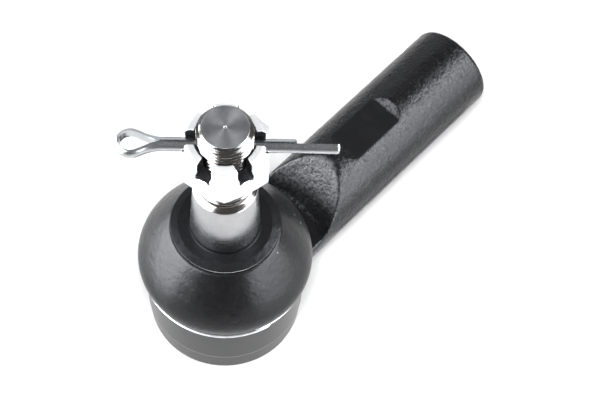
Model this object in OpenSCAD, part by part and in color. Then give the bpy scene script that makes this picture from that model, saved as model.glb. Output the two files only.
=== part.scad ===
// Outer tie rod end with a female-threaded shank, castle nut and cotter pin.
// Units mm. Origin: centre of the housing's flat underside, on the ball stud's axis.
// +Z runs up the ball stud, +X runs along the shank to its open end.

/* [Housing] */
// outer radius of the socket cup above its forging line
cup_r = 18.4; // [16:0.1:21]
// outer radius of the cup at its underside
cup_foot_r = 18.0; // [15:0.1:20.5]
// height of the cup's shoulder, where the boot's groove starts
cup_h = 19.2; // [17:0.1:21]
// height of the cup's top rim, inside the boot
rim_h = 22.6; // [21:0.1:24]
// radius of the socket bore that takes the bearing shells
socket_r = 13.4; // [12:0.1:14.5]
// outer radius of the shank
shank_r = 11; // [10:0.1:12]
// height of the shank's axis above the underside
shank_z = 12.1; // [11:0.1:14]
// distance from the stud axis to the shank's open end
shank_end = 83.5; // [75:0.5:95]
// depth of the female thread (M14 x 1.5, drawn at its minor diameter)
thread_depth = 44; // [30:1:48]
// radius of the female thread's crest
thread_r = 6.2; // [5.6:0.05:7]
// distance across the wrench flats
flats_af = 20; // [19:0.5:21.5]
// start of the wrench flats along the shank
flats_x = 41.2; // [38:0.1:46]
// length of the wrench flats
flats_len = 15; // [8:0.5:20]
// height of the boot clearance's floor
scoop_z = 14.3; // [13:0.1:16]

/* [Ball stud] */
// radius of the ball
ball_r = 10.5; // [9:0.1:11]
// height of the ball's centre above the underside
ball_z = 14.5; // [14:0.1:16]
// radius of the neck above the ball
neck_r = 5.6; // [5:0.1:6.2]
// radius of the taper's large end
taper_r = 8.1; // [7:0.1:9]
// height of the taper's large end
taper_z = 35.5; // [33:0.1:38]
// taper on the radius, per mm of length (1:10 on diameter)
taper_k = 0.05; // [0.04:0.0025:0.0625]
// height of the taper's small end
taper_top = 57; // [52:0.5:60]
// major radius of the stud's thread (M12 x 1.25)
stud_r = 6; // [5:0.5:7]
// height of the stud's end face
stud_h = 81.8; // [74:0.1:88]

/* [Bearing and cover] */
// radial running clearance between the ball and its shells
ball_gap = 0.05; // [0.02:0.01:0.1]
// thickness of the end cover
cover_t = 1.6; // [1:0.1:2.2]

/* [Dust boot] */
// largest radius of the boot
boot_r = 20.1; // [18:0.1:22]
// height of the boot's largest radius
boot_z = 25.2; // [24:0.1:28]
// radius of the boot's top lip
lip_r = 12.1; // [11:0.1:14]
// height of the boot's top lip
lip_z = 40.6; // [38:0.1:43]
// thickness of the boot's wall
wall = 1.7; // [1.2:0.1:2.2]
// wire radius of both retaining rings
wire_r = 0.5; // [0.35:0.05:0.7]

/* [Castle nut] */
// distance across the nut's flats
nut_af = 18; // [17:0.5:19]
// height of the nut's bearing face
nut_z = 67.8; // [60:0.1:70]
// height of the nut's hexagon
hex_h = 6.8; // [5:0.1:8]
// radius of the nut's slotted crown
crown_r = 8.5; // [8:0.1:9]
// overall height of the nut
nut_h = 9.8; // [9:0.1:12]
// width of the crown's six slots
slot_w = 3.2; // [3:0.1:3.6]

/* [Cotter pin] */
// radius of the pin's two half-round legs together
pin_r = 1.4; // [1.2:0.05:1.45]
// height of the pin's axis
pin_z = 74.7; // [72:0.1:77]
// angle of the pin's axis about the stud, from +X
pin_turn = -47; // [-180:1:180]
// length of the long leg past the stud's axis
pin_long = 23.6; // [16:0.1:30]
// length of the short leg past the stud's axis
pin_short = 14.8; // [12:0.1:24]
// distance from the stud's axis to the centre of the eye
pin_eye = 19.45; // [16:0.1:24]
// inner radius of the eye
eye_r = 2.35; // [1.8:0.05:3]

/* [Hidden] */
$fn = 96;
eps = 0.01;
far = 100;

// end cover and the seat it is rolled against
lip_t = 0.9;
cover_r = 14.9;
cover_z = lip_t;
seat_z = cover_z + cover_t;

// bearing shells
shell_in = ball_r + ball_gap;
shell_top = ball_z + 5.2;
pad_z = 3.7;
split_z = ball_z - 0.3;
split_gap = 0.6;
cone_z = shell_top - 3.2;
cone_r = 11.2;

// boot groove round the cup, and the rings' seats
groove_r = 16.8;
bead_r = 18.45;
lower_ring_z = 20.8;
lower_ring_R = bead_r + wire_r;
upper_ring_z = 39.5;
upper_seat_r = 11.45;
upper_ring_R = upper_seat_r + wire_r;
dome_top = [12.6, 38.7];
bore_gap = 0.05;

// cross hole through the stud's thread
hole_r = 1.6;
chamfer = 1.1;
hex_turn = pin_turn + 30;

// the pin's legs part at leg_x, and lie leg_gap / 2 either side of its axis
leg_gap = 0.16;
leg_x = pin_eye - 5.15;
crotch = 0.5;
eye_beta = atan2(leg_gap / 2, pin_eye - leg_x);
eye_phi = eye_beta + acos(eye_r / norm([pin_eye - leg_x, leg_gap / 2]));
eye_t = [eye_r * cos(eye_phi), eye_r * sin(eye_phi)];
leg_run = [eye_t[0] - (pin_eye - leg_x), eye_t[1] - leg_gap / 2];

color_forging = [0.13, 0.13, 0.14];
color_steel = [0.75, 0.75, 0.77];
color_zinc = [0.82, 0.84, 0.86];
color_rubber = [0.08, 0.08, 0.09];
color_plastic = [0.85, 0.84, 0.78];

function taper_at(z) = taper_r - taper_k * (z - taper_z);
function bez(a, b, c, t) = (1 - t) * (1 - t) * a + 2 * t * (1 - t) * b + t * t * c;
function curve(a, b, c, n) = [for (i = [0:n]) bez(a, b, c, i / n)];

module revolve(points) rotate_extrude() polygon(points);

// ring of round wire: R is the radius of the wire's centre line
module wire_ring(R, z, turn = 360) translate([0, 0, z])
    rotate_extrude(angle = turn) translate([R, 0]) circle(r = wire_r, $fn = 32);

module shank_cut() {
    h = flats_af / 2;
    run = 2.4;
    rise = shank_r - h + 0.2;
    run_out = run * rise / (shank_r - h);
    for (s = [-1, 1]) translate([0, far / 2, shank_z]) rotate([90, 0, 0])
        linear_extrude(far) polygon([
            [flats_x, s * h], [flats_x + flats_len, s * h],
            [flats_x + flats_len + run_out, s * (h + rise)],
            [flats_x - run_out, s * (h + rise)]]);
}

// forged bar from the cup outwards, cleared in an arc for the boot
module shank() difference() {
    translate([0, 0, shank_z]) rotate([0, 90, 0]) rotate_extrude() polygon([
        [0, 0], [shank_r, 0], [shank_r, shank_end - 0.9],
        [shank_r - 0.9, shank_end], [0, shank_end]]);
    revolve([[0, scoop_z], [24.6, scoop_z], [25.9, 14.9], [28.4, 17.2], [30.8, 19.3],
        [32.8, 21], [34.6, 22.3], [36.6, 23.3], [36.6, 30], [0, 30]]);
    shank_cut();
}

module cup_outline() revolve([
    [0, 0], [cup_foot_r - 0.7, 0], [cup_foot_r, 0.8], [cup_r, 6.6], [cup_r, cup_h - 0.4],
    [cup_r - 0.4, cup_h], [groove_r, cup_h], [groove_r, rim_h - 0.8],
    [groove_r + 0.4, rim_h - 0.8], [groove_r + 0.4, rim_h], [0, rim_h]]);

module socket_bore() revolve([
    [0, -1], [cover_r - 1.5, -1], [cover_r - 1.5, lip_t], [cover_r, lip_t],
    [cover_r, seat_z], [socket_r, seat_z], [socket_r, cone_z], [cone_r, shell_top],
    [ball_r - 0.4, shell_top], [ball_r - 0.4, shell_top + 0.7],
    [11.4, rim_h + eps], [0, rim_h + eps]]);

module rod_thread() {
    x0 = shank_end - thread_depth;
    translate([0, 0, shank_z]) rotate([0, 90, 0]) rotate_extrude() polygon([
        [0, x0 - 3.5], [thread_r, x0], [thread_r, shank_end - 1.1],
        [thread_r + 1.1, shank_end], [thread_r + 1.1, shank_end + 1], [0, shank_end + 1]]);
}

module housing() color(color_forging) difference() {
    union() { cup_outline(); shank(); }
    socket_bore();
    rod_thread();
}

module ball_stud() color(color_steel) difference() {
    union() {
        difference() {
            translate([0, 0, ball_z]) sphere(r = ball_r);
            translate([0, 0, ball_z - ball_r - 1]) cylinder(r = ball_r, h = 2.7);
        }
        revolve([[0, ball_z], [neck_r, ball_z], [neck_r, 26.5], [6, 28.5], [6.8, 31],
            [7.7, 34], [taper_r, taper_z], [taper_at(taper_top), taper_top],
            [taper_at(taper_top) - 0.6, taper_top + 0.7], [5.3, taper_top + 0.7],
            [5.3, taper_top + 2.2], [stud_r, taper_top + 2.9],
            [stud_r, stud_h - chamfer], [stud_r - chamfer, stud_h], [0, stud_h]]);
    }
    translate([0, 0, pin_z]) rotate([0, 90, pin_turn])
        cylinder(r = hole_r, h = 4 * stud_r, center = true, $fn = 48);
}

module upper_bearing_shell() color(color_plastic) difference() {
    revolve([[0, split_z + split_gap], [socket_r, split_z + split_gap], [socket_r, cone_z],
        [cone_r, shell_top], [0, shell_top]]);
    translate([0, 0, ball_z]) sphere(r = shell_in);
}

module lower_bearing_shell() color(color_plastic) difference() {
    revolve([[3, pad_z], [socket_r - 0.1, pad_z], [socket_r - 0.1, split_z], [3, split_z]]);
    translate([0, 0, ball_z]) sphere(r = shell_in);
}

// conical disc spring between the cover and the lower shell
module preload_spring() color(color_steel) revolve([
    [5, pad_z - 0.7], [5, pad_z], [5.4, pad_z], [12.6, seat_z + 0.7],
    [12.6, seat_z], [12.2, seat_z]]);

module end_cover() color(color_steel) revolve([
    [0, cover_z + 0.3], [5, cover_z + 0.3], [6, cover_z], [cover_r, cover_z],
    [cover_r, seat_z], [5.6, seat_z], [4.6, seat_z + 0.2], [0, seat_z + 0.2]]);

module dust_boot() color(color_rubber) {
    outer = concat(
        curve([bead_r, 21.9], [boot_r + 0.1, 22.6], [boot_r, boot_z], 8),
        curve([boot_r, boot_z], [boot_r, boot_z + 3.6], dome_top, 14));
    inner = concat(
        curve([9.6, 36.4], [boot_r - wall, boot_z + 2.9], [boot_r - wall, boot_z], 14),
        curve([boot_r - wall, boot_z], [boot_r - wall, 23.4], [17.3, 22.7], 5));
    difference() {
        revolve(concat(
            [[groove_r, cup_h + 0.05], [bead_r, cup_h + 0.05], [bead_r, 21.4]],
            outer,
            [[upper_seat_r, 38.7], [upper_seat_r, 40.1], [lip_r, 40.1], [lip_r, lip_z - 0.2],
             [lip_r - 0.2, lip_z], [taper_at(lip_z) + bore_gap, lip_z],
             [taper_at(36.4) + bore_gap, 36.4]],
            inner,
            [[groove_r + 0.4, 22.6], [groove_r + 0.4, rim_h - 0.8],
             [groove_r, rim_h - 0.8]]));
        wire_ring(lower_ring_R - 0.1, lower_ring_z);
    }
}

module boot_upper_ring() color(color_zinc) wire_ring(upper_ring_R, upper_ring_z);

module boot_lower_ring() color(color_zinc) wire_ring(lower_ring_R, lower_ring_z);

module castle_nut() color(color_zinc) difference() {
    translate([0, 0, nut_z]) rotate(hex_turn) union() {
        intersection() {
            cylinder(r = nut_af / 2 / cos(30), h = hex_h, $fn = 6);
            revolve([[0, 0], [nut_af / 2, 0], [nut_af / 2 / cos(30), 0.8],
                [nut_af / 2 / cos(30), hex_h - 0.8], [nut_af / 2, hex_h], [0, hex_h]]);
        }
        revolve([[0, 1], [crown_r, 1], [crown_r, nut_h - 0.5], [crown_r - 0.5, nut_h],
            [0, nut_h]]);
    }
    translate([0, 0, nut_z - 1]) cylinder(r = stud_r, h = nut_h + 2);
    translate([0, 0, nut_z + nut_h - 0.6]) cylinder(r1 = stud_r, r2 = stud_r + 0.7, h = 0.7);
    for (i = [0:2]) translate([0, 0, pin_z - hole_r]) rotate(pin_turn + 60 * i)
        translate([-far / 2, -slot_w / 2, 0]) cube([far, slot_w, 20]);
}

// straight half-round wire from the origin along +x, its flat facing -y
module wire_run(len, r = pin_r, flat = 0) intersection() {
    rotate([0, 90, 0]) rotate(135) cylinder(r = r, h = len, $fn = 32);
    translate([-1, flat, -2 * pin_r]) cube([len + 2, 4 * pin_r, 4 * pin_r]);
}

// a leg, and the slanted run that joins it to the eye: each ends inside the next
module pin_side(reach) {
    translate([-leg_x - crotch, leg_gap / 2, 0]) wire_run(leg_x + crotch + reach);
    translate([-leg_x + leg_run[0], leg_gap / 2 + leg_run[1], 0])
        rotate(atan2(-leg_run[1], -leg_run[0])) translate([-crotch, 0, 0])
        wire_run(norm(leg_run) + crotch, pin_r - 0.05, 0.03);
}

module pin_loop() difference() {
    rotate_extrude() translate([eye_r, 0]) circle(r = pin_r, $fn = 32);
    cylinder(r = eye_r, h = 4 * pin_r, center = true);
    translate([0, 0, -2 * pin_r]) linear_extrude(4 * pin_r) polygon([[0, 0],
        3 * eye_t, [6 * eye_r, 0], [3 * eye_t[0], -3 * eye_t[1]]]);
}

module cotter_pin() color(color_zinc) translate([0, 0, pin_z]) rotate([0, 0, pin_turn]) {
    pin_side(pin_short);
    mirror([0, 1, 0]) pin_side(pin_long);
    translate([-pin_eye, 0, 0]) pin_loop();
}

housing();
ball_stud();
upper_bearing_shell();
lower_bearing_shell();
preload_spring();
end_cover();
dust_boot();
boot_upper_ring();
boot_lower_ring();
castle_nut();
cotter_pin();
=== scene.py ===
"""Looks of an outer tie rod end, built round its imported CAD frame.

Blender works in metres. The shapes below are worked out in millimetres and scaled by MM.
"""

import math

import bmesh
import bpy
import numpy as np
from mathutils import Matrix, Vector


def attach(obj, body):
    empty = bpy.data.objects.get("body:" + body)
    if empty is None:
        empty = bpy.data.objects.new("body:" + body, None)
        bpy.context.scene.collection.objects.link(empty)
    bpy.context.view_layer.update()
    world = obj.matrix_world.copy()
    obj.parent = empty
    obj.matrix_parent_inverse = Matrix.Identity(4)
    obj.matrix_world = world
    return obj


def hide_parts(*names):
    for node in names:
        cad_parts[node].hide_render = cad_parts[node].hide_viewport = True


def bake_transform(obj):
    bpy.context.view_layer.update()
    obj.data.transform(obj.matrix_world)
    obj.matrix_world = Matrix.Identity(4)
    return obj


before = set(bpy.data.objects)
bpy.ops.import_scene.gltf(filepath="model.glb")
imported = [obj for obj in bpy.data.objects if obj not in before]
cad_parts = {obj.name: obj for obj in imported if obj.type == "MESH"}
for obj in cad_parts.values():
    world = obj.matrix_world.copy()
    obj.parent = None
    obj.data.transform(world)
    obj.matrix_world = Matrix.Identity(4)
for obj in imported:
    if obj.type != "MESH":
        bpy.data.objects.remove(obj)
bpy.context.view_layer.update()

MM = 0.001

TAN_60 = 1.732

# housing
HOUSING_STEP = 0.36
SHANK_R = 11.0
SHANK_Z = 12.1
SHANK_END = 83.5
THREAD_DEPTH = 44.0
BORE_START = SHANK_END - THREAD_DEPTH
BORE_CREST_R = 6.2
BORE_CONE = 3.5
M14_PITCH = 1.5
M14_DEPTH = 0.8
M14_CREST = 0.375
FLATS_X = 41.2
FLATS_LEN = 15.0
FLATS_HALF = 10.0
RAMP_RISE = 2.0
RAMP_LEN = 4.8
GROOVE_R = 16.8
# stud
BALL_R = 10.5
BALL_Z = 14.5
BALL_FLAT = 1.7
NECK_R = 5.6
TAPER_R = 8.1
TAPER_Z = 35.5
TAPER_K = 0.05
TAPER_TOP = 57.0
STUD_R = 6.0
RELIEF_R = 5.3
THREAD_START = TAPER_TOP + 1.4
M12_PITCH = 1.25
M12_DEPTH = 0.76
M12_CREST = 0.16
STUD_H = 81.8
HOLE_R = 1.6
# boot
BEAD_R = 18.45
BOOT_R = 20.1
BOOT_Z = 25.2
LIP_Z = 40.6
WALL = 1.7
COLLAR_BORE_Z = 38.8
COLLAR_GAP = 0.05
SEAM_Z = 31.6
WIRE_R = 0.3
LOWER_RING_R = BEAD_R + 0.62
LOWER_RING_Z = 20.85
LOWER_RING_RISE = 0.42
LOWER_RING_FALL = 0.9
LOWER_RING_START = -115.0
LOWER_RING_SWEEP = 372.0
UPPER_RING_Z = 39.45
UPPER_RING_R = 11.8
UPPER_RING_START = 40
UPPER_RING_END = 396
# nut and pin
NUT_STEP = 0.2
NUT_AF = 18.0
NUT_Z = 67.8
HEX_H = 6.8
CROWN_R = 8.5
NUT_H = 9.8
SLOT_HALF = 1.6
PIN_R = 1.4
PIN_Z = 74.7
SLOT_FLOOR = PIN_Z - HOLE_R - NUT_Z
PIN_TURN = -47.0
PIN_LONG = 23.6
PIN_SHORT = 14.8
PIN_EYE = 19.35
EYE_R = 2.35
LEG_GAP = 0.16
LEG_X = 14.3


# ---------------------------------------------------------------- fields and noise


def polygon_distance(px, py, points):
    """Signed distance from (px, py) to a closed polygon, negative inside."""
    best = np.full(px.shape, 1e9, np.float32)
    inside = np.zeros(px.shape, bool)
    for (ax, ay), (bx, by) in zip(points, points[1:] + points[:1]):
        ex, ey = bx - ax, by - ay
        wx, wy = px - ax, py - ay
        t = np.clip((wx * ex + wy * ey) / (ex * ex + ey * ey), 0, 1)
        best = np.minimum(best, (wx - ex * t) ** 2 + (wy - ey * t) ** 2)
        if ay != by:
            crosses = (ay > py) != (by > py)
            inside ^= crosses & (px < (bx - ax) * (py - ay) / (by - ay) + ax)
    return np.where(inside, -1, 1) * np.sqrt(best)


def smooth_max(a, b, k):
    h = np.clip(0.5 + 0.5 * (a - b) / k, 0, 1)
    return b + (a - b) * h + k * h * (1 - h)


def smooth_min(a, b, k):
    return -smooth_max(-a, -b, k)


def smooth_step(a, b, x):
    t = np.clip((x - a) / (b - a), 0, 1)
    return t * t * (3 - 2 * t)


def lattice(ix, iy, iz, seed):
    """A repeatable number from 0 to 1 for each whole-number point."""
    h = (ix * 374761393 + iy * 668265263 + iz * 2147483647 + seed * 1274126177) & 0xFFFFFFFF
    h = ((h ^ (h >> 13)) * 1103515245) & 0xFFFFFFFF
    h = ((h ^ (h >> 16)) * 2654435761) & 0xFFFFFFFF
    return ((h >> 8) & 0xFFFF) / 65535.0


def noise(p, size, seed):
    """Smooth value noise from -1 to 1 with features of that size, in mm."""
    q = p / size
    base = np.floor(q).astype(np.int64)
    f = q - base
    f = f * f * (3 - 2 * f)
    total = np.zeros(len(p))
    for dx in (0, 1):
        for dy in (0, 1):
            for dz in (0, 1):
                w = (
                    (f[:, 0] if dx else 1 - f[:, 0])
                    * (f[:, 1] if dy else 1 - f[:, 1])
                    * (f[:, 2] if dz else 1 - f[:, 2])
                )
                total += w * lattice(base[:, 0] + dx, base[:, 1] + dy, base[:, 2] + dz, seed)
    return total * 2 - 1


def surface_nets(field, low, high, step):
    """A closed quad mesh of where field(x, y, z) is zero, in mm."""
    low = np.array(low, float)
    axes = [np.arange(low[i], high[i] + step, step, dtype=np.float32) for i in range(3)]
    shape = tuple(len(a) for a in axes)
    vals = np.empty(shape, np.float32)
    slab = 12
    for i in range(0, shape[0], slab):
        grid = np.meshgrid(axes[0][i : i + slab], axes[1], axes[2], indexing="ij")
        vals[i : i + slab] = field(*grid)
    solid = vals < 0
    count = np.zeros([n - 1 for n in shape], np.int8)
    for d in np.ndindex(2, 2, 2):
        count += solid[tuple(slice(d[k], shape[k] - 1 + d[k]) for k in range(3))]
    cells = np.argwhere((count > 0) & (count < 8))
    index = np.full(count.shape, -1, np.int64)
    index[tuple(cells.T)] = np.arange(len(cells))
    total = np.zeros((len(cells), 3))
    hits = np.zeros(len(cells))
    for axis in range(3):
        for d in np.ndindex(2, 2):
            a = np.insert(np.array(d), axis, 0)
            b = np.insert(np.array(d), axis, 1)
            va = vals[tuple((cells + a).T)]
            vb = vals[tuple((cells + b).T)]
            cut = (va < 0) != (vb < 0)
            t = np.where(cut, va / np.where(cut, va - vb, 1), 0)
            total += np.where(cut[:, None], a + t[:, None] * (b - a), 0)
            hits += cut
    verts = low + (cells + total / hits[:, None]) * step
    faces = []
    for axis in range(3):
        u, v = [k for k in range(3) if k != axis]
        first = [slice(None)] * 3
        second = [slice(None)] * 3
        first[axis], second[axis] = slice(0, -1), slice(1, None)
        change = solid[tuple(first)] != solid[tuple(second)]
        edges = np.argwhere(change)
        edges = edges[(edges[:, u] > 0) & (edges[:, v] > 0)]
        quad = []
        for du, dv in ((1, 1), (0, 1), (0, 0), (1, 0)):
            c = edges.copy()
            c[:, u] -= du
            c[:, v] -= dv
            quad.append(index[tuple(c.T)])
        quad = np.stack(quad, 1)
        flip = solid[tuple(edges.T)] == (axis == 1)
        quad[flip] = quad[flip][:, ::-1]
        faces.append(quad)
    faces = np.concatenate(faces)
    for _ in range(3):
        verts = verts - step_to(field, verts, step)
    return verts, faces


def slope(field, p, h=0.02):
    g = np.empty((len(p), 3))
    for k in range(3):
        d = np.zeros(3)
        d[k] = h
        g[:, k] = (field(*(p + d).T) - field(*(p - d).T)) / (2 * h)
    return g


def step_to(field, p, limit):
    """How far to move each point so that it lies on the surface."""
    g = slope(field, p)
    move = field(*p.T)[:, None] * g / np.maximum((g * g).sum(1), 0.05)[:, None]
    size = np.linalg.norm(move, axis=1)[:, None]
    return move * np.minimum(1, 0.4 * limit / np.maximum(size, 1e-9))


# ---------------------------------------------------------------- meshes


def add_object(name, verts, faces, materials, face_slots=None):
    """A smooth-shaded mesh object from points in mm. Faces are an array of quads or a list."""
    mesh = bpy.data.meshes.new(name)
    if isinstance(faces, np.ndarray):
        mesh.vertices.add(len(verts))
        mesh.vertices.foreach_set("co", (verts * MM).astype(np.float32).ravel())
        mesh.loops.add(faces.size)
        mesh.loops.foreach_set("vertex_index", faces.astype(np.int32).ravel())
        mesh.polygons.add(len(faces))
        mesh.polygons.foreach_set(
            "loop_start", np.arange(len(faces), dtype=np.int32) * faces.shape[1]
        )
        mesh.update(calc_edges=True)
    else:
        mesh.from_pydata((np.array(verts) * MM).tolist(), [], faces)
        mesh.update()
    mesh.validate()
    mesh.shade_smooth()
    for m in materials:
        mesh.materials.append(m)
    if face_slots is not None:
        mesh.polygons.foreach_set("material_index", np.array(face_slots, np.int32))
    o = bpy.data.objects.new(name, mesh)
    bpy.context.scene.collection.objects.link(o)
    return o


def add_layer(o, name, values):
    """A number for each vertex, for the material to read."""
    layer = o.data.attributes.new(name, "FLOAT", "POINT")
    layer.data.foreach_set("value", np.clip(values, 0, 1).astype(np.float32))


def lathe(rows, turns, closed=False):
    """Turns rows of (radius, z) about Z. Radius 0 makes a pole.

    A radius may be a function of the angle.
    """
    angles = np.arange(turns) * 2 * math.pi / turns
    verts, rings = [], []
    for r, z in rows:
        if not callable(r) and r < 1e-6:
            rings.append([len(verts)])
            verts.append((0, 0, z))
            continue
        radii = r(angles) if callable(r) else np.full(turns, r)
        rings.append(list(range(len(verts), len(verts) + turns)))
        verts += [(q * math.cos(a), q * math.sin(a), z) for q, a in zip(radii, angles)]
    faces = []
    pairs = list(zip(rings, rings[1:])) + ([(rings[-1], rings[0])] if closed else [])
    for low, high in pairs:
        for i in range(turns):
            j = (i + 1) % turns
            if len(low) == 1:
                faces.append((low[0], high[j], high[i]))
            elif len(high) == 1:
                faces.append((low[i], low[j], high[0]))
            else:
                faces.append((low[i], low[j], high[j], high[i]))
    return np.array(verts), faces


def bezier(a, b, c, n):
    return [
        tuple((1 - t) ** 2 * p + 2 * t * (1 - t) * q + t * t * r for p, q, r in zip(a, b, c))
        for t in (i / n for i in range(n + 1))
    ]


def filleted(points, radius, n=4):
    """An open profile with its inner corners rounded. A point (r, z, k) has its own radius k."""
    out = [points[0][:2]]
    for a, b, c in zip(points, points[1:], points[2:]):
        k = b[2] if len(b) > 2 else radius
        a, b, c = (np.array(p[:2], float) for p in (a, b, c))
        la, lc = np.linalg.norm(a - b), np.linalg.norm(c - b)
        if k <= 0 or la < 1e-6 or lc < 1e-6:
            out.append(tuple(b))
            continue
        cut = min(k, 0.45 * la, 0.45 * lc)
        out += bezier(b + (a - b) / la * cut, b, b + (c - b) / lc * cut, n)
    out.append(points[-1][:2])
    return [(float(p[0]), float(p[1])) for p in out]


def dense(points, gap):
    """The same profile with rows at most gap apart."""
    out = [points[0]]
    for a, b in zip(points, points[1:]):
        n = max(1, math.ceil(math.dist(a, b) / gap))
        out += [
            (a[0] + (b[0] - a[0]) * i / n, a[1] + (b[1] - a[1]) * i / n) for i in range(1, n + 1)
        ]
    return out


def sweep(path, side, section, tip):
    """Sweeps a closed section along path.

    side is each point's sideways direction, and the section is (along side, along up) pairs.
    The ends are domed over the length tip.
    """
    path = np.array(path, float)
    tangent = np.gradient(path, axis=0)
    tangent /= np.linalg.norm(tangent, axis=1)[:, None]
    up = np.cross(tangent, side / np.linalg.norm(side, axis=1)[:, None])
    run = np.concatenate([[0], np.cumsum(np.linalg.norm(np.diff(path, axis=0), axis=1))])
    verts, faces = [], []
    n = len(section)
    for p, s, u, d in zip(path, side, up, run):
        end = min(d, run[-1] - d)
        k = 1.0
        if end < tip:
            k = max(0.03, math.sqrt(max(0, 1 - (1 - end / tip) ** 2)))
        verts += [p + k * (a * s + b * u) for a, b in section]
    for i in range(len(path) - 1):
        for j in range(n):
            a, b = i * n + j, i * n + (j + 1) % n
            faces.append((a, b, b + n, a + n))
    faces.append(tuple(range(n))[::-1])
    faces.append(tuple(range((len(path) - 1) * n, len(path) * n)))
    return np.array(verts), faces


def cut_away(o, cutter):
    """Subtracts the cutter from o and removes the cutter."""
    m = o.modifiers.new("cut", "BOOLEAN")
    m.operation, m.object, m.solver = "DIFFERENCE", cutter, "EXACT"
    bpy.context.view_layer.update()
    done = bpy.data.meshes.new_from_object(
        o.evaluated_get(bpy.context.evaluated_depsgraph_get())
    )
    o.modifiers.clear()
    o.data = done
    bpy.data.objects.remove(cutter)
    drop_slivers(done)


def drop_slivers(mesh, gap=0.002):
    """Welds what a cut leaves closer than gap, in mm, and removes folded pairs of triangles."""
    bm = bmesh.new()
    bm.from_mesh(mesh)
    bmesh.ops.remove_doubles(bm, verts=bm.verts, dist=gap * MM)
    bmesh.ops.dissolve_degenerate(bm, edges=bm.edges, dist=gap * MM)
    bmesh.ops.triangulate(bm, faces=[f for f in bm.faces if len(f.verts) > 4])
    same = {}
    for face in bm.faces:
        same.setdefault(frozenset(face.verts), []).append(face)
    folded = [face for pair in same.values() if len(pair) > 1 for face in pair]
    bmesh.ops.delete(bm, geom=folded, context="FACES")
    bm.to_mesh(mesh)
    bm.free()


def recalc(o):
    """Turns every face outwards."""
    bm = bmesh.new()
    bm.from_mesh(o.data)
    bmesh.ops.recalc_face_normals(bm, faces=bm.faces)
    bm.to_mesh(o.data)
    bm.free()
    o.data.shade_smooth()


def sharpen(o, degrees):
    """Keeps edges sharper than that angle crisp."""
    o.data.shade_smooth()
    o.data.set_sharp_from_angle(angle=math.radians(degrees))


def turn_and_lift(verts, angle, lift):
    """The points turned about Z by an angle in radians and raised."""
    x, y, z = verts.T
    c, s = math.cos(angle), math.sin(angle)
    return np.stack([x * c - y * s, x * s + y * c, z + lift], 1)


# ---------------------------------------------------------------- materials


class Nodes:
    """A material with a Principled shader, and short calls to add nodes to it."""

    def __init__(self, name, metallic=0.0, rough=None, **sockets):
        self.m = bpy.data.materials.new(name)
        self.m.use_nodes = True
        self.tree = self.m.node_tree
        self.bsdf = self.tree.nodes["Principled BSDF"]
        self.bsdf.inputs["Metallic"].default_value = metallic
        if rough is not None:
            self.bsdf.inputs["Roughness"].default_value = rough
        for key, value in sockets.items():
            self.bsdf.inputs[key.replace("_", " ")].default_value = value
        self.coord = self.tree.nodes.new("ShaderNodeTexCoord").outputs["Object"]

    def add(self, kind, inputs=(), **settings):
        n = self.tree.nodes.new("ShaderNode" + kind)
        for k, v in settings.items():
            setattr(n, k, v)
        for key, v in dict(inputs).items():
            if isinstance(v, bpy.types.NodeSocket):
                self.tree.links.new(v, n.inputs[key])
            else:
                n.inputs[key].default_value = v
        return n

    def noise(self, size_mm, detail=3.0, rough=0.55, stretch=None):
        where = self.coord
        if stretch:
            where = self.add("Mapping", {"Vector": where, "Scale": stretch}).outputs[0]
        return self.add(
            "TexNoise",
            {
                "Vector": where,
                "Scale": 1000.0 / size_mm,
                "Detail": detail,
                "Roughness": rough,
            },
        ).outputs["Fac"]

    def remap(self, x, a, b, lo, hi):
        return self.add(
            "MapRange", {"Value": x, "From Min": a, "From Max": b, "To Min": lo, "To Max": hi}
        ).outputs[0]

    def mix(self, x, a, b):
        n = self.tree.nodes.new("ShaderNodeMix")
        n.data_type = "RGBA"
        for s, v in ((n.inputs[0], x), (n.inputs[6], a), (n.inputs[7], b)):
            if isinstance(v, bpy.types.NodeSocket):
                self.tree.links.new(v, s)
            else:
                s.default_value = (*v, 1) if isinstance(v, tuple) else v
        return n.outputs[2]

    def mottle(self, x, dark, light, a=0.3, b=0.7):
        """Two colours mixed by x: all dark where x is a, all light where it is b."""
        return self.mix(self.remap(x, a, b, 0, 1), dark, light)

    def math(self, kind, a, b=0.0):
        return self.add("Math", {0: a, 1: b}, operation=kind).outputs[0]

    def color(self, x):
        self.tree.links.new(x, self.bsdf.inputs["Base Color"])

    def roughness(self, x):
        self.tree.links.new(x, self.bsdf.inputs["Roughness"])

    def bump(self, height, depth_mm, strength, after=None):
        inputs = {"Height": height, "Distance": depth_mm * MM, "Strength": strength}
        if after:
            inputs["Normal"] = after
        return self.add("Bump", inputs).outputs[0]

    def normal(self, x):
        self.tree.links.new(x, self.bsdf.inputs["Normal"])


PAINT_GLOSS = 0.33
RUBBER_GLOSS = 0.31


def forged_paint():
    n = Nodes("forged_black_paint", Specular_IOR_Level=PAINT_GLOSS)
    broad = n.noise(9.0, 2.0)
    grain = n.noise(0.8, 2.0, 0.5)
    pits = n.noise(0.4, 1.0, 0.5)
    painted_highlight = n.add("Attribute", attribute_name="painted_highlight").outputs["Fac"]
    depth = n.add("Attribute", attribute_name="grain").outputs["Fac"]
    black = n.mottle(broad, (0.0045, 0.0045, 0.0055), (0.0080, 0.0080, 0.0095))
    # Painted highlight: the scoop's upper part and the flats' ramps are mixed towards pale grey,
    # flecked by the grain.
    highlight_amount = n.math("MULTIPLY", painted_highlight, n.remap(grain, 0.35, 0.6, 0.25, 1.0))
    n.color(n.mix(highlight_amount, black, (0.13, 0.13, 0.138)))
    uneven = n.math("MULTIPLY", n.remap(grain, 0.3, 0.7, -0.06, 0.06), depth)
    n.roughness(n.math("ADD", 0.28, uneven))
    n.normal(n.bump(pits, 0.05, depth, n.bump(grain, 0.14, depth)))
    return n.m


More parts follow.
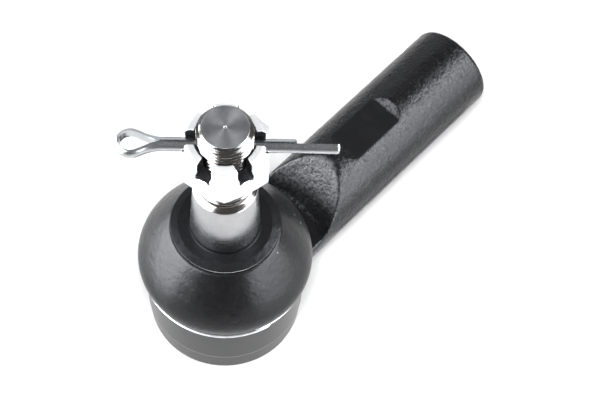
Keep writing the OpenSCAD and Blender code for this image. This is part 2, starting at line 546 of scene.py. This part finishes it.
def machined_paint():
    """The wrench flats and the socket rim: paint over a milled face."""
    n = Nodes("milled_black_paint", Specular_IOR_Level=PAINT_GLOSS)
    broad = n.noise(6.0, 2.0)
    lines = n.noise(0.35, 2.0, 0.5, (1.0, 0.08, 1.0))
    n.color(n.mottle(broad, (0.0042, 0.0042, 0.005), (0.0065, 0.0065, 0.0075)))
    n.roughness(n.remap(lines, 0.3, 0.7, 0.30, 0.42))
    n.normal(n.bump(lines, 0.01, 0.4))
    return n.m


def bore_steel():
    """The cut thread in the shank."""
    n = Nodes("cut_thread_steel", metallic=1.0)
    broad = n.noise(3.0, 3.0)
    fine = n.noise(0.2, 2.0)
    n.color(n.mottle(broad, (0.20, 0.19, 0.18), (0.34, 0.33, 0.31)))
    n.roughness(n.remap(fine, 0.3, 0.7, 0.28, 0.45))
    n.normal(n.bump(fine, 0.01, 0.4))
    return n.m


def rubber():
    n = Nodes("boot_rubber", Specular_IOR_Level=RUBBER_GLOSS)
    broad = n.noise(7.0, 2.0)
    skin = n.noise(0.9, 3.0, 0.6)
    dimples = n.noise(2.8, 2.0, 0.6)
    pores = n.noise(0.22, 2.0, 0.6)
    dust = n.add("TexVoronoi", {"Vector": n.coord, "Scale": 260.0, "Randomness": 1.0})
    near = n.remap(dust.outputs["Distance"], 0.05, 0.09, 1, 0)
    pick = n.add("SeparateColor", {0: dust.outputs["Color"]}).outputs[0]
    sparse = n.math("GREATER_THAN", pick, 0.86)
    black = n.mottle(broad, (0.0042, 0.0042, 0.005), (0.0075, 0.0075, 0.009))
    n.color(n.mix(n.math("MULTIPLY", near, sparse), black, (0.55, 0.55, 0.55)))
    n.roughness(n.remap(skin, 0.3, 0.7, 0.27, 0.36))
    n.normal(n.bump(pores, 0.008, 0.5, n.bump(skin, 0.06, 0.6, n.bump(dimples, 0.16, 0.8))))
    return n.m


def ground_steel():
    """The taper and ball: ground and polished."""
    n = Nodes("ground_steel", metallic=1.0)
    broad = n.noise(5.0, 2.0)
    lines = n.noise(0.5, 3.0, 0.6, (0.15, 0.15, 3.5))
    n.color(n.mottle(broad, (0.43, 0.43, 0.44), (0.50, 0.50, 0.51)))
    n.roughness(n.remap(lines, 0.3, 0.7, 0.16, 0.28))
    n.normal(n.bump(lines, 0.0015, 0.4))
    return n.m


def thread_steel():
    """The rolled thread, a little oily, and brown in patches."""
    n = Nodes("rolled_thread_steel", metallic=1.0)
    broad = n.noise(2.5, 3.0)
    fine = n.noise(0.15, 2.0)
    n.color(n.mottle(broad, (0.20, 0.198, 0.196), (0.27, 0.248, 0.23), 0.35, 0.65))
    n.roughness(n.remap(fine, 0.3, 0.7, 0.10, 0.20))
    n.normal(n.bump(fine, 0.002, 0.4))
    return n.m


def turned_face():
    """The stud's end: turned, so its sheen runs round the axis."""
    n = Nodes("turned_steel_face", metallic=1.0, Anisotropic=0.65, rough=0.38)
    xyz = n.add("SeparateXYZ", {0: n.coord}).outputs
    x2, y2 = (n.math("MULTIPLY", v, v) for v in (xyz[0], xyz[1]))
    reach = n.math("SQRT", n.math("ADD", x2, y2))
    rings = n.math("SINE", n.math("MULTIPLY", reach, 2 * math.pi / (0.16 * MM)))
    patch = n.noise(2.2, 3.0, 0.6)
    n.color(n.mottle(patch, (0.34, 0.34, 0.35), (0.44, 0.44, 0.45), 0.35, 0.65))
    n.normal(n.bump(rings, 0.003, 0.35))
    tangent = n.add("Tangent", direction_type="RADIAL", axis="Z").outputs[0]
    n.tree.links.new(tangent, n.bsdf.inputs["Tangent"])
    return n.m


def zinc(name, low, high, rough_lo, rough_hi, metallic=1.0):
    n = Nodes(name, metallic=metallic)
    broad = n.noise(3.0, 3.0)
    fine = n.noise(0.35, 3.0, 0.6)
    n.color(n.mottle(broad, low, high))
    n.roughness(n.remap(fine, 0.3, 0.7, rough_lo, rough_hi))
    n.normal(n.bump(fine, 0.0008, 0.3))
    return n.m


def slot_shade_steel():
    """The nut's slots and bore: near-black steel, a painted shade for the shadow inside them."""
    n = Nodes("painted_slot_shade", metallic=0.3, Specular_IOR_Level=0.3)
    broad = n.noise(1.5, 3.0)
    fine = n.noise(0.2, 2.0)
    n.color(n.mottle(broad, (0.012, 0.012, 0.013), (0.04, 0.04, 0.045)))
    n.roughness(n.remap(fine, 0.3, 0.7, 0.35, 0.5))
    n.normal(n.bump(fine, 0.004, 0.3))
    return n.m


def plastic():
    n = Nodes("bearing_plastic", Specular_IOR_Level=0.5)
    broad = n.noise(4.0, 2.0)
    fine = n.noise(0.3, 2.0)
    n.color(n.mottle(broad, (0.66, 0.64, 0.56), (0.72, 0.70, 0.63)))
    n.roughness(n.remap(fine, 0.3, 0.7, 0.38, 0.50))
    n.normal(n.bump(fine, 0.006, 0.4))
    return n.m


def pale_floor():
    n = Nodes("studio_floor", rough=0.8, Specular_IOR_Level=0.1)
    patch = n.noise(60.0, 2.0)
    n.color(n.mottle(patch, (0.92, 0.92, 0.93), (0.94, 0.94, 0.94)))
    return n.m


PAINT = forged_paint()
MILLED = machined_paint()
BORE = bore_steel()
RUBBER = rubber()
GROUND = ground_steel()
THREAD = thread_steel()
TURNED = turned_face()
ZINC = zinc("zinc_plating", (0.86, 0.88, 0.90), (0.94, 0.95, 0.96), 0.34, 0.48, 0.6)
WIRE = zinc("bright_wire", (0.80, 0.81, 0.82), (0.90, 0.90, 0.91), 0.28, 0.38, 0.7)
PIN_ZINC = zinc("pin_zinc", (0.50, 0.52, 0.53), (0.60, 0.61, 0.62), 0.18, 0.28)
PLATED = zinc("plated_cover", (0.50, 0.50, 0.48), (0.62, 0.61, 0.57), 0.28, 0.42)
SPRING = zinc("spring_steel", (0.34, 0.35, 0.38), (0.44, 0.45, 0.47), 0.26, 0.38)
PLASTIC = plastic()
SLOT_SHADE = slot_shade_steel()


# ---------------------------------------------------------------- housing

CUP = [
    (-20, 0), (17.3, 0), (18.0, 0.7), (18.15, 6.2), (18.4, 6.7), (18.4, 18.8), (18.0, 19.2),
    (GROOVE_R, 19.2), (GROOVE_R, 21.8), (17.2, 21.8), (17.2, 22.6), (-20, 22.6),
]
SHANK = [(-12, 0), (SHANK_R, 0), (SHANK_R, 82.5), (10.7, 83.1), (10.1, SHANK_END), (-12, SHANK_END)]
SCOOP = [
    (-40, 14.3), (24.6, 14.3), (25.9, 14.9), (28.4, 17.2), (30.8, 19.3), (32.8, 21.0),
    (34.6, 22.3), (36.6, 23.3), (36.6, 40), (-40, 40),
]
SOCKET = [
    (-20, -1), (13.4, -1), (13.4, 0.9), (14.9, 0.9), (14.9, 2.5), (13.4, 2.5), (13.4, 16.5),
    (11.2, 19.7), (10.1, 19.7), (10.1, 20.4), (11.4, 22.61), (11.4, 24), (-20, 24),
]
FLATS = [
    (FLATS_X, FLATS_HALF), (FLATS_X + FLATS_LEN, FLATS_HALF),
    (FLATS_X + FLATS_LEN + RAMP_LEN, FLATS_HALF + RAMP_RISE),
    (FLATS_X - RAMP_LEN, FLATS_HALF + RAMP_RISE),
]


def thread_depth(axial, angle, pitch, full, crest):
    """Depth of a 60 degree thread below its crest, at that place along and round its axis."""
    u = np.abs((axial / pitch - angle / (2 * math.pi)) % 1.0 - 0.5) * pitch
    return np.clip((0.5 * pitch - crest / 2 - u) * TAN_60, 0, full)


def bore_radius(x, y, z):
    """The tapped hole's radius at each point: drill cone, thread and mouth chamfer."""
    angle = np.arctan2(z - SHANK_Z, y)
    grow = thread_depth(x, angle, M14_PITCH, M14_DEPTH, M14_CREST)
    cone = (x - (BORE_START - BORE_CONE)) * BORE_CREST_R / BORE_CONE
    fade = smooth_step(BORE_START, BORE_START + 4, x)
    mouth = BORE_CREST_R + 1.3 + (x - SHANK_END)
    return np.maximum(np.minimum(BORE_CREST_R + grow * fade, cone), mouth)


def housing_field(x, y, z):
    r = np.hypot(x, y)
    rho = np.hypot(y, z - SHANK_Z)
    cup = polygon_distance(r, z, CUP)
    shank = polygon_distance(rho, x, SHANK)
    seam = 0.22 * np.exp(-(((z - SHANK_Z) / 0.55) ** 2))
    shank = shank - seam * smooth_step(24, 30, x) * smooth_step(79, 74, x)
    scoop = polygon_distance(r, z, SCOOP)
    shank = smooth_max(shank, -scoop, 0.6)
    flats = polygon_distance(x, np.abs(z - SHANK_Z), FLATS)
    shank = smooth_max(shank, -flats, 0.2)
    body = smooth_min(cup, shank, 2.2)
    body = np.where((z > 19.0) & (r < 24), np.maximum(body, cup), body)
    body = np.maximum(body, -polygon_distance(r, z, SOCKET))
    bore = np.where(x > BORE_START - 4, (bore_radius(x, y, z) - rho) * 0.75, -1.0)
    return np.maximum(body, bore)


def make_housing():
    verts, faces = surface_nets(
        housing_field, (-18.9, -18.9, -0.5), (SHANK_END + 0.4, 18.9, 23.6), HOUSING_STEP
    )
    x, y, z = verts.T
    r = np.hypot(x, y)
    rho = np.hypot(y, z - SHANK_Z)
    on_flat = (
        smooth_step(FLATS_X - 0.6, FLATS_X, x)
        * smooth_step(FLATS_X + FLATS_LEN + 0.6, FLATS_X + FLATS_LEN, x)
        * smooth_step(0.25, 0.1, np.abs(np.abs(z - SHANK_Z) - FLATS_HALF))
    )
    in_bore = (rho < 8.2) & (x > BORE_START - 5)
    in_socket = (r < 15.3) & (z > -0.4)
    fits = (z > 19.0) & (r < 18.6)
    forged = (1 - on_flat) * ~in_bore * ~in_socket * ~fits * (z > 0.05)
    end_face = smooth_step(1.2, 0.2, np.abs(x - SHANK_END))
    off_cup = smooth_step(18.8, 22, r)
    rough = (1.0 - 0.6 * end_face) * (0.06 + 0.94 * off_cup)
    amount = 0.022 * noise(verts, 2.4, 3) + 0.038 * noise(verts, 0.95, 5) - 0.06
    g = slope(housing_field, verts)
    g /= np.maximum(np.linalg.norm(g, axis=1), 1e-6)[:, None]
    verts = verts + g * (amount * forged * rough)[:, None]
    # the grain must not reach below the base
    verts[:, 2] = np.maximum(verts[:, 2], 0)
    centre = verts[faces].mean(1)
    c_rho = np.hypot(centre[:, 1], centre[:, 2] - SHANK_Z)
    c_r = np.hypot(centre[:, 0], centre[:, 1])
    slots = np.where((c_rho < 7.6) & (centre[:, 0] > BORE_START - 5), 2, 0)
    slots = np.where((slots == 0) & (on_flat[faces].min(1) > 0.9), 1, slots)
    slots = np.where((slots == 0) & (c_r < 15.2) & (centre[:, 0] < 16), 1, slots)
    o = add_object("forged_housing", verts, faces, [PAINT, MILLED, BORE], slots)
    # how deep the forging's grain is, and where its paint is made paler as a painted highlight: the
    # scoop's upper part and the flats' ramps
    on_cup = smooth_step(21, 18.6, r)
    low_scoop = smooth_step(19.0, 16.5, z) * (r < 34) * (1 - on_cup) * (rho < 10.7)
    past = x - FLATS_X - FLATS_LEN
    ramp = FLATS_HALF + past * RAMP_RISE / RAMP_LEN
    near_ramp = np.abs(np.abs(z - SHANK_Z) - ramp) < 0.2
    on_ramp = smooth_step(0.1, 0.7, past) * near_ramp * (rho < 10.95)
    add_layer(o, "grain", 1.0 - 0.97 * on_cup - 0.55 * low_scoop - 0.6 * on_ramp)
    on_scoop = smooth_step(10.95, 10.6, rho) * (r < 38) * (r > 24)
    highlight_amount = on_scoop * smooth_step(16.0, 20.0, z + 0.12 * y)
    add_layer(o, "painted_highlight", np.maximum(highlight_amount, 0.9 * on_ramp))
    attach(o, "housing")
    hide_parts("housing")


# ---------------------------------------------------------------- stud


def taper_at(z):
    return TAPER_R - TAPER_K * (z - TAPER_Z)


def make_stud():
    low = BALL_Z - BALL_R + BALL_FLAT
    neck_z = BALL_Z + math.sqrt(BALL_R**2 - NECK_R**2)
    rows = [(0.0, low), (2.0, low), (math.sqrt(BALL_R**2 - (BALL_Z - low) ** 2) - 0.3, low)]
    start = math.asin((low - BALL_Z) / BALL_R) + 0.03
    end = math.asin((neck_z - BALL_Z) / BALL_R) - 0.06
    rows += [
        (BALL_R * math.cos(a), BALL_Z + BALL_R * math.sin(a)) for a in np.linspace(start, end, 40)
    ]
    top = taper_at(TAPER_TOP)
    rows += dense(
        filleted(
            [
                (5.75, neck_z + 0.2), (NECK_R, neck_z + 0.9), (NECK_R, 26.5), (6.0, 28.5, 1.0),
                (6.8, 31.0, 1.0), (7.7, 34.0, 1.0), (TAPER_R, TAPER_Z, 0.3),
                (top, TAPER_TOP + 0.2, 0.15), (5.9, TAPER_TOP + 1.1, 0.2),
                (RELIEF_R, TAPER_TOP + 1.3),
            ],
            0.4,
        ),
        1.2,
    )
    first, last = THREAD_START, STUD_H - 0.02
    count = round((last - first) / (M12_PITCH / 14))

    def ridge(z):
        reach = min(STUD_R, 5.25 + (z - first) * 1.1, 4.95 + (STUD_H - z) * 1.0)

        def radius(a):
            axial = np.full(a.shape, z) + M12_PITCH / 2
            depth = thread_depth(axial, a, M12_PITCH, M12_DEPTH, M12_CREST)
            return np.minimum(STUD_R - M12_DEPTH + depth, reach)

        return radius

    rows += [(ridge(z), z) for z in np.linspace(first, last, count)]
    face = filleted(
        [(4.93, STUD_H - 0.01), (4.7, STUD_H), (2.4, STUD_H - 0.02), (0.38, STUD_H - 0.03),
         (0.25, STUD_H - 0.12), (0.0, STUD_H - 0.18)], 0.06, 2,
    )
    rows += dense(face, 0.4)
    verts, faces = lathe(rows, 144)
    o = add_object("ball_stud_steel", verts, faces, [GROUND, THREAD, TURNED])
    cv, cf = lathe([(0.0, -14.0), (HOLE_R, -14.0), (HOLE_R, 14.0), (0.0, 14.0)], 40)
    cutter = add_object("hole_cutter", cv, cf, [THREAD])
    cutter.matrix_world = (
        Matrix.Translation((0, 0, PIN_Z * MM))
        @ Matrix.Rotation(math.radians(PIN_TURN), 4, "Z")
        @ Matrix.Rotation(math.pi / 2, 4, "Y")
    )
    cut_away(o, cutter)
    # Above TAPER_TOP + 0.3 the stud takes the darker thread steel. This is the real finish on the
    # thread and relief, but it also covers the taper's top shoulder, a painted shade for the dark
    # band under the nut.
    for p in o.data.polygons:
        z = p.center.z / MM
        flat = p.normal.z > 0.9 or math.hypot(p.center.x, p.center.y) < 0.6 * MM
        p.material_index = 2 if z > STUD_H - 0.5 and flat else int(z > TAPER_TOP + 0.3)
    sharpen(o, 38)
    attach(o, "stud")
    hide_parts("ball_stud")


# ---------------------------------------------------------------- boot


def boot_outer():
    return bezier((BEAD_R, 21.9), (BOOT_R + 0.1, 22.6), (BOOT_R, BOOT_Z), 14) + bezier(
        (BOOT_R, BOOT_Z), (BOOT_R, BOOT_Z + 3.6), (12.6, 38.7), 60
    )[1:]


def boot_inner():
    side = BOOT_R - WALL
    return bezier((10.9, 37.4), (side, BOOT_Z + 2.9), (side, BOOT_Z), 60) + bezier(
        (side, BOOT_Z), (side, 23.4), (17.3, 22.7), 14
    )[1:]


def split(points, z):
    """Cuts a profile at height z: (the part before, the part after), both with the cut point."""
    for i, (a, b) in enumerate(zip(points, points[1:])):
        if (a[1] - z) * (b[1] - z) <= 0 and a[1] != b[1]:
            t = (z - a[1]) / (b[1] - a[1])
            mid = (a[0] + (b[0] - a[0]) * t, z)
            return points[: i + 1] + [mid], [mid] + points[i + 1 :]
    raise ValueError("the profile doesn't reach that height")


def make_boot():
    outer_low, outer_high = split(boot_outer(), SEAM_Z)
    inner_high, inner_low = split(boot_inner(), SEAM_Z)
    foot = filleted(
        [outer_low[0], (BEAD_R, 21.5), (BEAD_R, 21.25, 0.1), (BEAD_R - 0.25, 20.9, 0.2),
         (BEAD_R - 0.05, 20.3, 0.1), (BEAD_R, 19.25), (GROOVE_R, 19.25), (GROOVE_R, 21.8),
         (17.2, 21.8), (17.2, 22.6), inner_low[-1]], 0.12, 3,
    )
    low = outer_low[::-1] + foot[1:-1] + inner_low[::-1]
    lip = filleted(
        [outer_high[-1], (12.2, 38.85, 0.2), (11.25, 38.9, 0.2), (11.25, 40.0, 0.15),
         (12.3, 39.98, 0.15), (12.3, 40.1, 0.1), (10.8, 40.52, 0.4),
         (10.5, 40.6, 0.15), (8.25, LIP_Z, 0.2),
         (taper_at(LIP_Z) + COLLAR_GAP, LIP_Z - 0.1),
         (taper_at(COLLAR_BORE_Z) + COLLAR_GAP, COLLAR_BORE_Z), inner_high[0]],
        0.15, 4,
    )
    high = outer_high + lip[1:-1] + inner_high
    # closing each profile caps it flat at SEAM_Z, where the two pieces meet
    made = []
    for name, rows in (("boot_lower_dome", low), ("boot_upper_dome", high)):
        verts, faces = lathe(dense(rows, 0.45), 160, closed=True)
        made.append(add_object(name, verts, faces, [RUBBER]))
    lower, upper = made
    for o in made:
        recalc(o)
        sharpen(o, 60)
    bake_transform(lower)
    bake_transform(upper)
    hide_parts("dust_boot")


def round_section(r, n=16):
    return [(r * math.cos(t), r * math.sin(t)) for t in np.arange(n) * 2 * math.pi / n]


def wire(name, radius, z_at, start, end, body, node):
    angles = np.radians(np.arange(start, end + 0.1, 2.0))
    path = [(radius * math.cos(a), radius * math.sin(a), z_at(a)) for a in angles]
    side = np.array([(math.cos(a), math.sin(a), 0) for a in angles])
    verts, faces = sweep(path, side, round_section(WIRE_R), tip=WIRE_R)
    o = add_object(name, verts, faces, [WIRE])
    recalc(o)
    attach(o, body)
    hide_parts(node)


def make_rings():
    first, turn = math.radians(LOWER_RING_START), math.radians(LOWER_RING_SWEEP)

    def falling(a):
        return LOWER_RING_Z + LOWER_RING_RISE - LOWER_RING_FALL * (a - first) / turn

    wire(
        "lower_clamp_ring", LOWER_RING_R, falling, LOWER_RING_START,
        LOWER_RING_START + LOWER_RING_SWEEP, "housing", "boot_lower_ring",
    )
    wire(
        "upper_clamp_ring", UPPER_RING_R, lambda a: UPPER_RING_Z, UPPER_RING_START,
        UPPER_RING_END, "boot_collar", "boot_upper_ring",
    )


# ---------------------------------------------------------------- nut and pin

NUT_CHAMFER = [
    (-12, 0), (9.05, 0), (10.39, 0.8), (10.39, HEX_H - 0.8), (9.05, HEX_H), (-12, HEX_H),
]
CROWN = [(-12, 1), (CROWN_R, 1), (CROWN_R, NUT_H - 0.5), (CROWN_R - 0.5, NUT_H), (-12, NUT_H)]


def slot_offsets(x, y):
    """How far each point is from the middle of each of the three cuts across the nut."""
    for k in range(3):
        a = math.radians(-30 + 60 * k)
        yield np.abs(-x * math.sin(a) + y * math.cos(a))


def nut_field(x, y, z):
    r = np.hypot(x, y)
    hexagon = np.full(x.shape, -1e3, np.float32)
    for k in range(3):
        a = math.radians(30 + 60 * k)
        hexagon = smooth_max(hexagon, np.abs(x * math.cos(a) + y * math.sin(a)) - NUT_AF / 2, 0.12)
    body = smooth_max(hexagon, polygon_distance(r, z, NUT_CHAMFER), 0.2)
    body = smooth_min(body, polygon_distance(r, z, CROWN), 0.35)
    slot = np.full(x.shape, 1e3, np.float32)
    for offset in slot_offsets(x, y):
        slot = np.minimum(slot, smooth_max(offset - SLOT_HALF, SLOT_FLOOR - z, 1.0))
    body = smooth_max(body, -slot, 0.3)
    hole = smooth_min(r - STUD_R - 0.03, r - STUD_R - (z - NUT_H + 0.6), 0.2)
    hole = smooth_min(hole, r - STUD_R - (0.6 - z), 0.2)
    return smooth_max(body, -hole, 0.15)


def make_nut():
    verts, faces = surface_nets(
        nut_field, (-10.9, -10.9, -0.5), (10.9, 10.9, NUT_H + 0.5), NUT_STEP
    )
    x, y, z = verts.T
    verts = turn_and_lift(verts, math.radians(PIN_TURN + 30), NUT_Z)
    # The faces inside the slots and the bore get the near-black steel: painted shade where the nut
    # shades itself.
    slot_shaded = np.zeros(len(x), bool)
    for offset in slot_offsets(x, y):
        slot_shaded |= (offset < SLOT_HALF + 0.12) & (z > SLOT_FLOOR - 0.12)
    slot_shaded |= np.hypot(x, y) < STUD_R + 0.7
    o = add_object("castle_nut_zinc", verts, faces, [ZINC, SLOT_SHADE], slot_shaded[faces].all(1).astype(int))
    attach(o, "stud")
    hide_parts("castle_nut")


def make_pin():
    beta = math.atan2(LEG_GAP / 2, PIN_EYE - LEG_X)
    phi = beta + math.acos(EYE_R / math.hypot(PIN_EYE - LEG_X, LEG_GAP / 2))
    half = LEG_GAP / 2
    line = [(PIN_LONG, -half), (-LEG_X, -half)]
    line += [
        (-PIN_EYE + EYE_R * math.cos(a), EYE_R * math.sin(a))
        for a in np.linspace(-phi, -2 * math.pi + phi, 60)
    ]
    line += [(-LEG_X, half), (PIN_SHORT, half)]
    line = np.array(dense(line, 0.3))
    for _ in range(14):
        line[1:-1] = 0.5 * line[1:-1] + 0.25 * (line[:-2] + line[2:])
    head = np.gradient(line, axis=0)
    head /= np.linalg.norm(head, axis=1)[:, None]
    side = np.stack([-head[:, 1], head[:, 0], np.zeros(len(head))], 1)
    path = np.column_stack([line, np.zeros(len(line))])
    section = [
        (PIN_R * math.cos(t) * 0.97 + 0.02, PIN_R * math.sin(t))
        for t in np.linspace(-math.pi / 2 + 0.05, math.pi / 2 - 0.05, 15)
    ]
    section += [(0.0, PIN_R * 0.9), (0.0, PIN_R * 0.45), (0.0, -PIN_R * 0.45), (0.0, -PIN_R * 0.9)]
    thin = 1.0 - 0.3 * smooth_step(-LEG_X, -LEG_X - 2.5, line[:, 0])
    verts, faces = sweep(path, side * thin[:, None], section, tip=0.5)
    verts = turn_and_lift(verts, math.radians(PIN_TURN), PIN_Z)
    o = add_object("cotter_pin_wire", verts, faces, [PIN_ZINC])
    recalc(o)
    sharpen(o, 50)
    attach(o, "pin")
    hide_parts("cotter_pin")


make_housing()
make_stud()
make_boot()
make_rings()
make_nut()
make_pin()

for node, material in (
    ("upper_bearing_shell", PLASTIC),
    ("lower_bearing_shell", PLASTIC),
    ("preload_spring", SPRING),
    ("end_cover", PLATED),
):
    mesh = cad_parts[node].data
    mesh.materials.clear()
    mesh.materials.append(material)


# ---------------------------------------------------------------- stage


FLOOR_HALF = 1.6
FLOOR_Z = -0.0004
BOX_TINT = (0.93, 0.965, 1.0)
BOX_TARGET = (0.01, 0.0, 0.03)


def make_floor():
    mesh = bpy.data.meshes.new("floor")
    n = 8
    xs = np.linspace(-FLOOR_HALF, FLOOR_HALF, n)
    verts = [(x, y, FLOOR_Z) for y in xs for x in xs]
    faces = [
        (j * n + i, j * n + i + 1, (j + 1) * n + i + 1, (j + 1) * n + i)
        for j in range(n - 1)
        for i in range(n - 1)
    ]
    mesh.from_pydata(verts, [], faces)
    mesh.materials.append(pale_floor())
    o = bpy.data.objects.new("floor", mesh)
    bpy.context.scene.collection.objects.link(o)


def aim(o, direction, distance, target):
    """Puts a light that far from the target in a direction, facing the target."""
    bpy.context.scene.collection.objects.link(o)
    d = Vector(direction).normalized()
    o.location = Vector(target) + d * distance
    o.rotation_mode = "QUATERNION"
    o.rotation_quaternion = (-d).to_track_quat("-Z", "Y")


def softbox(name, direction, distance, size, radiance, gloss=True, diffuse=True):
    """A rectangular soft light. Its power follows its area, so radiance is how bright it looks."""
    data = bpy.data.lights.new(name, "AREA")
    data.shape = "RECTANGLE"
    data.size, data.size_y = size
    data.energy = radiance * math.pi * size[0] * size[1]
    data.color = BOX_TINT if gloss else (1.0, 1.0, 1.0)
    o = bpy.data.objects.new(name, data)
    aim(o, direction, distance, BOX_TARGET)
    o.visible_glossy, o.visible_diffuse, o.visible_camera = gloss, diffuse, False


def pool(name, direction, distance, radius, power, target):
    """A soft-edged spot that lights the floor round the object."""
    data = bpy.data.lights.new(name, "SPOT")
    data.energy = power
    data.spot_size = 2 * math.atan(radius / distance)
    data.spot_blend = 0.7
    data.shadow_soft_size = 0.12
    o = bpy.data.objects.new(name, data)
    aim(o, direction, distance, target)
    o.visible_glossy = False


def make_world():
    world = bpy.data.worlds.new("studio")
    world.use_nodes = True
    back = world.node_tree.nodes["Background"]
    back.inputs["Color"].default_value = (1.0, 1.0, 1.0, 1)
    back.inputs["Strength"].default_value = 0.20
    bpy.context.scene.world = world


VIEW_AZ = math.radians(-51.351)
VIEW_EL = math.radians(61.784)
VIEW_ROLL = math.radians(4.818)
VIEW_LENS = 99.33
VIEW_PLACE = (-121.589, -117.913, 367.922)


def make_camera():
    back = Vector(
        (
            math.sin(VIEW_AZ) * math.cos(VIEW_EL),
            -math.cos(VIEW_AZ) * math.cos(VIEW_EL),
            math.sin(VIEW_EL),
        )
    )
    level = Vector((math.cos(VIEW_AZ), math.sin(VIEW_AZ), 0))
    rise = back.cross(level)
    right = level * math.cos(VIEW_ROLL) + rise * math.sin(VIEW_ROLL)
    up = -level * math.sin(VIEW_ROLL) + rise * math.cos(VIEW_ROLL)
    data = bpy.data.cameras.new("camera")
    data.sensor_width = 36.0
    data.lens = VIEW_LENS
    data.clip_start, data.clip_end = 0.01, 20
    cam = bpy.data.objects.new("camera", data)
    bpy.context.scene.collection.objects.link(cam)
    place = Matrix((right, up, back)).transposed().to_4x4()
    place.translation = Vector(VIEW_PLACE) * MM
    cam.matrix_world = place
    bpy.context.scene.camera = cam
    return level, back


make_floor()
make_world()
level, back = make_camera()
flat_back = Vector((back.x, back.y, 0)).normalized()
UP = Vector((0, 0, 1))


def toward(azimuth, elevation):
    """A direction from the object: azimuth 0 is towards the camera, 90 to its right."""
    a, e = math.radians(azimuth), math.radians(elevation)
    return (flat_back * math.cos(a) + level * math.sin(a)) * math.cos(e) + UP * math.sin(e)


softbox("left_box", toward(-66, 31), 0.8, (0.84, 0.82), 9.5, diffuse=False)
softbox("left_card", toward(-84, 7), 0.12, (0.15, 0.085), 9.0, diffuse=False)
softbox("right_card", toward(66, 7), 0.12, (0.13, 0.085), 2.2, diffuse=False)
softbox("right_low_box", toward(68, 12), 0.8, (0.9, 0.55), 5.2, diffuse=False)
softbox("right_high_box", toward(93, 44), 0.8, (0.55, 0.42), 12.0, diffuse=False)
softbox("back_box", toward(-165, 24), 0.9, (1.1, 0.5), 0.8, diffuse=False)
softbox("fill_left", toward(-82, 35), 0.8, (0.8, 0.6), 1.6, gloss=False)
softbox("fill_right", toward(82, 35), 0.8, (0.8, 0.6), 1.6, gloss=False)
pool("key_pool", back + UP * 0.3, 0.8, 0.20, 26.0, (0.025, 0.0, 0.0))

bpy.context.scene.view_settings.view_transform = "Standard"
